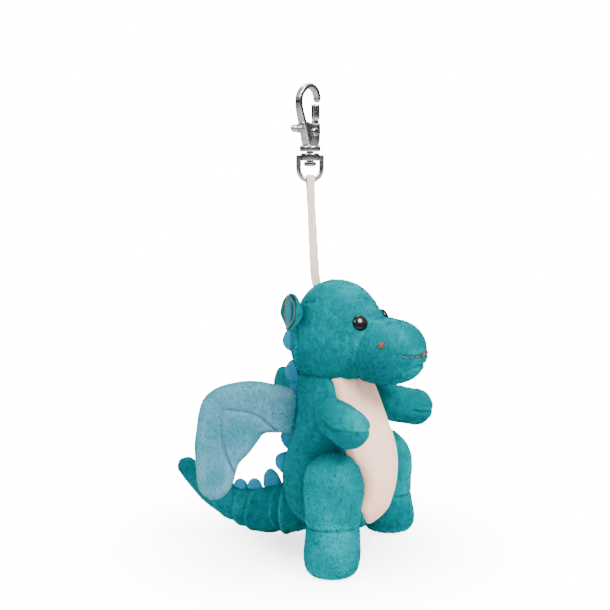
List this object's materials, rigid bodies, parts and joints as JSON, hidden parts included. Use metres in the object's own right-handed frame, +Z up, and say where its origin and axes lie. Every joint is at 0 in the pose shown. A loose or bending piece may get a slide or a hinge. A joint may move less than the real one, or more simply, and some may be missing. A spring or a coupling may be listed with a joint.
{
  "type": "plush dragon key charm",
  "caption": "Small stuffed dragon with wings, scallop spines and an upturned tail, hung by a cotton tape from a swivel trigger snap.",
  "frame": {"origin": "inside top of the snap's hook, on the swivel axis, where the charm hangs from a ring or a bag loop", "axes": "+Z up along the swivel axis, the dragon faces -Y, its own left side is +X"},
  "size_m": [0.0716, 0.0996, 0.1642],
  "materials": {
    "plush": "short turquoise velboa pile, matt with a silky sheen",
    "light_plush": "short light blue pile, matt",
    "scallop_plush": "short blue pile, padded scallops",
    "belly_cloth": "smooth pale peach knitted cloth",
    "wadding": "white polyester fibre filling",
    "cotton_tape": "woven cream cotton tape",
    "thread": "brown embroidery thread",
    "eye_black": "black, moulded, high gloss",
    "nylon": "natural nylon, locking washer",
    "nickel": "bright nickel plate on cast zinc",
    "pin_steel": "plated steel pin and spring"
  },
  "bodies": {
    "hook": {"hook_body": "nickel", "gate_rivet": "pin_steel", "gate_spring": "pin_steel", "swivel_rivet": "nickel"},
    "gate": {"gate_lever": "nickel"},
    "stirrup": {"stirrup": "nickel"},
    "strap": {"strap_loop": "cotton_tape"},
    "plush": {"head_cover": "plush", "muzzle_cover": "plush", "head_stuffing": "wadding", "eye_left": "eye_black", "eye_right": "eye_black", "eye_washer_left": "nylon", "eye_washer_right": "nylon", "nostril_left": "thread", "nostril_right": "thread", "mouth_stitch": "thread", "ear_outer_left": "plush", "ear_outer_right": "plush", "ear_lining_left": "light_plush", "ear_lining_right": "light_plush", "torso_cover": "plush", "belly_panel": "belly_cloth", "torso_stuffing": "wadding", "spine_01": "scallop_plush", "spine_02": "scallop_plush", "spine_03": "scallop_plush", "spine_04": "scallop_plush", "spine_05": "scallop_plush", "spine_06": "scallop_plush"},
    "arm_left": {"arm_cover_left": "plush", "arm_stuffing_left": "wadding"},
    "arm_right": {"arm_cover_right": "plush", "arm_stuffing_right": "wadding"},
    "leg_left": {"leg_cover_left": "plush", "foot_cover_left": "plush", "leg_stuffing_left": "wadding"},
    "leg_right": {"leg_cover_right": "plush", "foot_cover_right": "plush", "leg_stuffing_right": "wadding"},
    "tail": {"tail_cover": "plush", "tail_stuffing": "wadding", "spine_07": "scallop_plush", "spine_08": "scallop_plush", "spine_09": "scallop_plush", "spine_10": "scallop_plush"},
    "wing_left": {"wing_front_left": "light_plush", "wing_back_left": "plush", "wing_wadding_left": "wadding"},
    "wing_right": {"wing_front_right": "light_plush", "wing_back_right": "plush", "wing_wadding_right": "wadding"}
  },
  "joints": [
    {"name": "gate_hinge", "type": "hinge", "parent": "hook", "child": "gate", "pos_m": [0.00067, -0.0002, -0.0148], "axis": [-0.2924, -0.9563, 0], "range_deg": [0, 25], "stiffness_Nm_per_rad": 0.004, "deforming": ["gate_spring"]},
    {"name": "swivel", "type": "hinge", "parent": "hook", "child": "stirrup", "pos_m": [0, 0, -0.0232], "axis": [0, 0, 1], "continuous": true},
    {"name": "strap_swing", "type": "hinge", "parent": "stirrup", "child": "strap", "pos_m": [0, 0, -0.03165], "axis": [0.5736, -0.8192, 0], "range_deg": [-60, 60]},
    {"name": "strap_bend", "type": "hinge", "parent": "strap", "child": "plush", "pos_m": [0, -0.002, -0.0676], "axis": [0.5736, -0.8192, 0], "range_deg": [-45, 45], "deforming": ["strap_loop"]},
    {"name": "arm_left", "type": "hinge", "parent": "plush", "child": "arm_left", "pos_m": [0.0167, -0.0176, -0.1112], "axis": [-0.7666, -0.6421, 0], "range_deg": [-6, 25], "stiffness_Nm_per_rad": 0.02},
    {"name": "arm_right", "type": "hinge", "parent": "plush", "child": "arm_right", "pos_m": [-0.0167, -0.0176, -0.1112], "axis": [-0.7607, 0.6491, 0], "range_deg": [-6, 25], "stiffness_Nm_per_rad": 0.02},
    {"name": "leg_left", "type": "hinge", "parent": "plush", "child": "leg_left", "pos_m": [0.01403, -0.0174, -0.1322], "axis": [-0.9354, 0.3535, 0], "range_deg": [-12, 20], "stiffness_Nm_per_rad": 0.02},
    {"name": "leg_right", "type": "hinge", "parent": "plush", "child": "leg_right", "pos_m": [-0.01403, -0.0174, -0.1322], "axis": [-0.9354, -0.3535, 0], "range_deg": [-12, 20], "stiffness_Nm_per_rad": 0.02},
    {"name": "tail_wag", "type": "hinge", "parent": "plush", "child": "tail", "pos_m": [0, 0.0063, -0.1497], "axis": [0, 0, 1], "range_deg": [-12, 12], "stiffness_Nm_per_rad": 0.02},
    {"name": "wing_left", "type": "hinge", "parent": "plush", "child": "wing_left", "pos_m": [0.006, 0.0039, -0.1122], "axis": [0, 0, -1], "range_deg": [-8, 25], "stiffness_Nm_per_rad": 0.02},
    {"name": "wing_right", "type": "hinge", "parent": "plush", "child": "wing_right", "pos_m": [-0.006, 0.0039, -0.1122], "axis": [0, 0, 1], "range_deg": [-8, 25], "stiffness_Nm_per_rad": 0.02}
  ]
}
